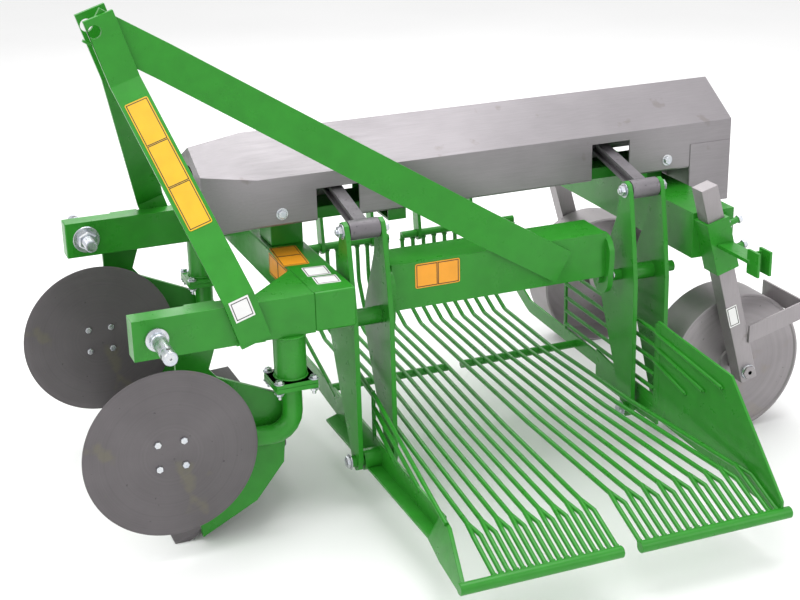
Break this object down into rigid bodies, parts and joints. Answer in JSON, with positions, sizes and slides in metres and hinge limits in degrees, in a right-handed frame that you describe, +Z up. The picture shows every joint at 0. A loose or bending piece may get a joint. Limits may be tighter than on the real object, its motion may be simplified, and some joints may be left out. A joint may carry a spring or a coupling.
{
  "type": "potato harvester",
  "caption": "Tractor-mounted potato harvester with a digging share between flat discs, rocking rod sieves that discharge to the side, and steel depth wheels.",
  "frame": {"origin": "on the floor, under the middle of the machine", "axes": "+X forward, towards the tractor; +Y left, towards the side the sieves empty to; +Z up"},
  "size_m": [1.623, 1.2944, 1.0224],
  "materials": {
    "green_paint": "gloss",
    "bare_steel": "satin",
    "grey_sheet": "satin",
    "zinc_plate": "satin"
  },
  "bodies": {
    "frame": {"bearing_front": "bare_steel", "bearing_middle": "bare_steel", "bearing_rear": "bare_steel", "cover_strap_front": "green_paint", "cover_strap_rear": "green_paint", "cross_beam": "green_paint", "disc_arm_left": "green_paint", "disc_arm_right": "green_paint", "disc_post_left": "green_paint", "disc_post_right": "green_paint", "drive_cover": "grey_sheet", "gusset_left": "green_paint", "gusset_right": "green_paint", "hanger_rail": "green_paint", "hitch_arm_left": "green_paint", "hitch_arm_right": "green_paint", "hitch_pin_left": "zinc_plate", "hitch_pin_right": "zinc_plate", "main_beam": "green_paint", "mast_brace": "green_paint", "mast_leg_left": "green_paint", "mast_leg_right": "green_paint", "rear_beam": "green_paint", "rear_bracket": "green_paint", "share_blade": "bare_steel", "share_leg_left": "green_paint", "share_leg_right": "green_paint", "spine": "green_paint"},
    "disc_left": {"disc_left": "bare_steel"},
    "disc_right": {"disc_right": "bare_steel"},
    "leg_left": {"wheel_leg_left": "bare_steel", "scraper_left": "bare_steel"},
    "leg_right": {"wheel_leg_right": "bare_steel", "scraper_right": "bare_steel"},
    "wheel_left": {"wheel_left": "bare_steel"},
    "wheel_right": {"wheel_right": "bare_steel"},
    "shaft": {"eccentric_shaft": "bare_steel"},
    "rocker_front": {"rocker_front": "green_paint"},
    "rocker_rear": {"rocker_rear": "green_paint"},
    "sieve_front": {"sieve_front": "green_paint"},
    "sieve_rear": {"sieve_rear": "green_paint"},
    "rod_front": {"connecting_rod_front": "bare_steel"},
    "rod_rear": {"connecting_rod_rear": "bare_steel"},
    "hanger_1": {"hanger_1": "green_paint"},
    "hanger_2": {"hanger_2": "green_paint"},
    "hanger_3": {"hanger_3": "green_paint"},
    "hanger_4": {"hanger_4": "green_paint"}
  },
  "joints": [
    {"name": "disc_left_spin", "type": "hinge", "parent": "frame", "child": "disc_left", "pos_m": [0.6415, 0.16475, 0.23], "axis": [0, 1, 0], "continuous": true},
    {"name": "disc_right_spin", "type": "hinge", "parent": "frame", "child": "disc_right", "pos_m": [0.6415, -0.47525, 0.23], "axis": [0, 1, 0], "continuous": true},
    {"name": "wheel_leg_left_height", "type": "slide", "parent": "frame", "child": "leg_left", "axis": [0.2672, 0, 0.9636], "range_m": [-0.03, 0.03]},
    {"name": "wheel_leg_right_height", "type": "slide", "parent": "frame", "child": "leg_right", "axis": [0.2672, 0, 0.9636], "range_m": [-0.03, 0.03]},
    {"name": "wheel_left_spin", "type": "hinge", "parent": "leg_left", "child": "wheel_left", "pos_m": [-0.6485, 0.06075, 0.163], "axis": [0, 1, 0], "continuous": true},
    {"name": "wheel_right_spin", "type": "hinge", "parent": "leg_right", "child": "wheel_right", "pos_m": [-0.6485, -0.53925, 0.163], "axis": [0, 1, 0], "continuous": true},
    {"name": "drive_shaft_spin", "type": "hinge", "parent": "frame", "child": "shaft", "pos_m": [0.2035, -0.18925, 0.64], "axis": [1, 0, 0], "continuous": true},
    {"name": "rocker_front_swing", "type": "hinge", "parent": "frame", "child": "rocker_front", "pos_m": [0.2035, 0.05075, 0.396], "axis": [1, 0, 0], "range_deg": [-2.5, 2.5]},
    {"name": "rocker_rear_swing", "type": "hinge", "parent": "frame", "child": "rocker_rear", "pos_m": [-0.4265, 0.05075, 0.396], "axis": [1, 0, 0], "range_deg": [-2.5, 2.5]},
    {"name": "sieve_front_swing", "type": "hinge", "parent": "rocker_front", "child": "sieve_front", "pos_m": [0.1935, 0.09075, 0.1], "axis": [1, 0, 0], "range_deg": [-2.5, 2.5]},
    {"name": "sieve_rear_swing", "type": "hinge", "parent": "rocker_rear", "child": "sieve_rear", "pos_m": [-0.4115, 0.09075, 0.1], "axis": [1, 0, 0], "range_deg": [-2.5, 2.5]},
    {"name": "rod_front_swing", "type": "hinge", "parent": "rocker_front", "child": "rod_front", "pos_m": [0.2035, 0.06075, 0.585], "axis": [1, 0, 0], "range_deg": [-2.5, 2.5]},
    {"name": "rod_rear_swing", "type": "hinge", "parent": "rocker_rear", "child": "rod_rear", "pos_m": [-0.4265, 0.06075, 0.585], "axis": [1, 0, 0], "range_deg": [-2.5, 2.5]},
    {"name": "hanger_1_swing", "type": "hinge", "parent": "frame", "child": "hanger_1", "pos_m": [0.08725, -0.56603, 0.5432], "axis": [1, 0, 0], "range_deg": [-3.8, 3.8]},
    {"name": "hanger_2_swing", "type": "hinge", "parent": "frame", "child": "hanger_2", "pos_m": [-0.04025, -0.56603, 0.5432], "axis": [1, 0, 0], "range_deg": [-3.8, 3.8]},
    {"name": "hanger_3_swing", "type": "hinge", "parent": "frame", "child": "hanger_3", "pos_m": [-0.16031, -0.56603, 0.5432], "axis": [1, 0, 0], "range_deg": [-3.8, 3.8]},
    {"name": "hanger_4_swing", "type": "hinge", "parent": "frame", "child": "hanger_4", "pos_m": [-0.29969, -0.56603, 0.5432], "axis": [1, 0, 0], "range_deg": [-3.8, 3.8]}
  ],
  "couplings": [
    {"joint": "rocker_rear_swing", "follows": "rocker_front_swing", "ratio": -1},
    {"joint": "sieve_front_swing", "follows": "rocker_front_swing", "ratio": -1},
    {"joint": "sieve_rear_swing", "follows": "rocker_front_swing", "ratio": 1},
    {"joint": "rod_front_swing", "follows": "rocker_front_swing", "ratio": -1},
    {"joint": "rod_rear_swing", "follows": "rocker_front_swing", "ratio": 1},
    {"joint": "hanger_1_swing", "follows": "rocker_front_swing", "ratio": 1.4934},
    {"joint": "hanger_2_swing", "follows": "rocker_front_swing", "ratio": 1.4934},
    {"joint": "hanger_3_swing", "follows": "rocker_front_swing", "ratio": -1.4934},
    {"joint": "hanger_4_swing", "follows": "rocker_front_swing", "ratio": -1.4934}
  ]
}
